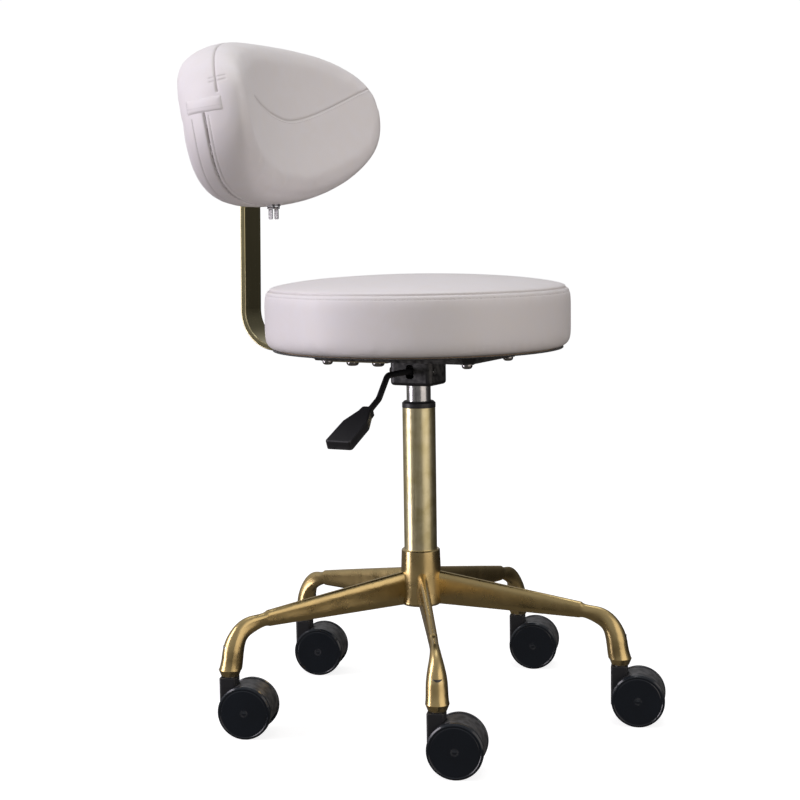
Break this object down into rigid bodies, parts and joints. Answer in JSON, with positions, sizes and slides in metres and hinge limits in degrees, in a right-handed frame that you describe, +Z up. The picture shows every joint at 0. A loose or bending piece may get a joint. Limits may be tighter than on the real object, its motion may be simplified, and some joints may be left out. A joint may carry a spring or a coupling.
{
  "type": "rolling stylist stool",
  "caption": "Height-adjustable rolling stool with a round padded seat, a padded backrest on a flat bent bar, a gas-lift column and a star base on twin-wheel casters.",
  "frame": {"origin": "on the floor under the column's axis", "axes": "+Z up along the column; the sitter faces -Y, so the backrest is at +Y and the height lever at -X"},
  "size_m": [0.4918, 0.5556, 0.7803],
  "materials": {
    "gold_cast": "satin gold lacquer on a casting",
    "gold_tube": "satin champagne gold plate",
    "gold_bar": "polished gold plate",
    "chrome": "bright chrome",
    "steel": "plain steel",
    "zinc": "bright zinc",
    "black_steel": "satin black powder coat",
    "black_plastic": "satin black moulding",
    "black_gloss": "glossy black moulding",
    "rubber": "black rubber",
    "board": "raw plywood",
    "cloth": "thin black cloth",
    "cover": "off-white smooth cover"
  },
  "bodies": {
    "base": {"star_base": "gold_cast", "stem_sockets": "zinc", "column_tube": "gold_tube", "column_bush": "black_plastic", "column_cup": "steel", "thrust_bearing": "steel"},
    "piston": {"piston_rod": "chrome", "retaining_clip": "zinc", "bump_stop": "rubber", "piston_head": "steel"},
    "seat": {"gas_cylinder": "chrome", "mechanism_box": "black_steel", "taper_socket": "black_steel", "lever_pin": "zinc", "seat_plate": "black_steel", "plate_screws": "zinc", "back_bar": "gold_bar", "bar_bolts": "zinc", "back_board": "board", "back_bolts": "zinc", "seat_board": "board", "dust_cover": "cloth", "seat_cushion": "cover", "back_cushion": "cover", "zip_sliders": "zinc"},
    "lever": {"lever_rod": "black_steel", "lever_paddle": "black_plastic"},
    "release_pin": {"release_pin": "zinc"},
    "zip_pull_right": {"zip_pull_right": "zinc"},
    "zip_pull_left": {"zip_pull_left": "zinc"},
    "caster_1": {"caster_1_hood": "black_plastic", "caster_1_stem": "zinc", "caster_1_axle": "steel"},
    "caster_1_wheel_a": {"caster_1_wheel_a": "black_gloss"},
    "caster_1_wheel_b": {"caster_1_wheel_b": "black_gloss"},
    "caster_2": {"caster_2_hood": "black_plastic", "caster_2_stem": "zinc", "caster_2_axle": "steel"},
    "caster_2_wheel_a": {"caster_2_wheel_a": "black_gloss"},
    "caster_2_wheel_b": {"caster_2_wheel_b": "black_gloss"},
    "caster_3": {"caster_3_hood": "black_plastic", "caster_3_stem": "zinc", "caster_3_axle": "steel"},
    "caster_3_wheel_a": {"caster_3_wheel_a": "black_gloss"},
    "caster_3_wheel_b": {"caster_3_wheel_b": "black_gloss"},
    "caster_4": {"caster_4_hood": "black_plastic", "caster_4_stem": "zinc", "caster_4_axle": "steel"},
    "caster_4_wheel_a": {"caster_4_wheel_a": "black_gloss"},
    "caster_4_wheel_b": {"caster_4_wheel_b": "black_gloss"},
    "caster_5": {"caster_5_hood": "black_plastic", "caster_5_stem": "zinc", "caster_5_axle": "steel"},
    "caster_5_wheel_a": {"caster_5_wheel_a": "black_gloss"},
    "caster_5_wheel_b": {"caster_5_wheel_b": "black_gloss"}
  },
  "joints": [
    {"name": "seat_swivel", "type": "hinge", "parent": "base", "child": "piston", "pos_m": [0, 0, 0.1367], "axis": [0, 0, 1], "continuous": true},
    {"name": "seat_height", "type": "slide", "parent": "piston", "child": "seat", "axis": [0, 0, 1], "range_m": [0, 0.115]},
    {"name": "lever_pivot", "type": "hinge", "parent": "seat", "child": "lever", "pos_m": [-0.014, 0, 0.3997], "axis": [0, 1, 0], "range_deg": [0, 8], "stiffness_Nm_per_rad": 1.2},
    {"name": "release_pin_slide", "type": "slide", "parent": "seat", "child": "release_pin", "axis": [0, 0, -1], "range_m": [0, 0.0022]},
    {"name": "zip_pull_right_swing", "type": "hinge", "parent": "seat", "child": "zip_pull_right", "pos_m": [-0.0065, 0.19, 0.5866], "axis": [0, 1, 0], "range_deg": [-20, 70]},
    {"name": "zip_pull_left_swing", "type": "hinge", "parent": "seat", "child": "zip_pull_left", "pos_m": [0.0065, 0.19, 0.5866], "axis": [0, 1, 0], "range_deg": [-70, 20]},
    {"name": "caster_1_swivel", "type": "hinge", "parent": "base", "child": "caster_1", "pos_m": [-0.19923, -0.11829, 0.08], "axis": [0, 0, 1], "continuous": true},
    {"name": "caster_1_wheel_a_spin", "type": "hinge", "parent": "caster_1", "child": "caster_1_wheel_a", "pos_m": [-0.19289, -0.13779, 0.03], "axis": [0.9511, 0.309, 0], "continuous": true},
    {"name": "caster_1_wheel_b_spin", "type": "hinge", "parent": "caster_1", "child": "caster_1_wheel_b", "pos_m": [-0.19289, -0.13779, 0.03], "axis": [0.9511, 0.309, 0], "continuous": true},
    {"name": "caster_2_swivel", "type": "hinge", "parent": "base", "child": "caster_2", "pos_m": [0.05094, -0.22603, 0.08], "axis": [0, 0, 1], "continuous": true},
    {"name": "caster_2_wheel_a_spin", "type": "hinge", "parent": "caster_2", "child": "caster_2_wheel_a", "pos_m": [0.05727, -0.24553, 0.03], "axis": [0.9511, 0.309, 0], "continuous": true},
    {"name": "caster_2_wheel_b_spin", "type": "hinge", "parent": "caster_2", "child": "caster_2_wheel_b", "pos_m": [0.05727, -0.24553, 0.03], "axis": [0.9511, 0.309, 0], "continuous": true},
    {"name": "caster_3_swivel", "type": "hinge", "parent": "base", "child": "caster_3", "pos_m": [0.23071, -0.0214, 0.08], "axis": [0, 0, 1], "continuous": true},
    {"name": "caster_3_wheel_a_spin", "type": "hinge", "parent": "caster_3", "child": "caster_3_wheel_a", "pos_m": [0.23704, -0.0409, 0.03], "axis": [0.9511, 0.309, 0], "continuous": true},
    {"name": "caster_3_wheel_b_spin", "type": "hinge", "parent": "caster_3", "child": "caster_3_wheel_b", "pos_m": [0.23704, -0.0409, 0.03], "axis": [0.9511, 0.309, 0], "continuous": true},
    {"name": "caster_4_swivel", "type": "hinge", "parent": "base", "child": "caster_4", "pos_m": [0.09165, 0.2128, 0.08], "axis": [0, 0, 1], "continuous": true},
    {"name": "caster_4_wheel_a_spin", "type": "hinge", "parent": "caster_4", "child": "caster_4_wheel_a", "pos_m": [0.09798, 0.19331, 0.03], "axis": [0.9511, 0.309, 0], "continuous": true},
    {"name": "caster_4_wheel_b_spin", "type": "hinge", "parent": "caster_4", "child": "caster_4_wheel_b", "pos_m": [0.09798, 0.19331, 0.03], "axis": [0.9511, 0.309, 0], "continuous": true},
    {"name": "caster_5_swivel", "type": "hinge", "parent": "base", "child": "caster_5", "pos_m": [-0.17407, 0.15292, 0.08], "axis": [0, 0, 1], "continuous": true},
    {"name": "caster_5_wheel_a_spin", "type": "hinge", "parent": "caster_5", "child": "caster_5_wheel_a", "pos_m": [-0.16773, 0.13343, 0.03], "axis": [0.9511, 0.309, 0], "continuous": true},
    {"name": "caster_5_wheel_b_spin", "type": "hinge", "parent": "caster_5", "child": "caster_5_wheel_b", "pos_m": [-0.16773, 0.13343, 0.03], "axis": [0.9511, 0.309, 0], "continuous": true}
  ],
  "couplings": [
    {"joint": "release_pin_slide", "follows": "lever_pivot", "m_per_rad": 0.0141}
  ]
}
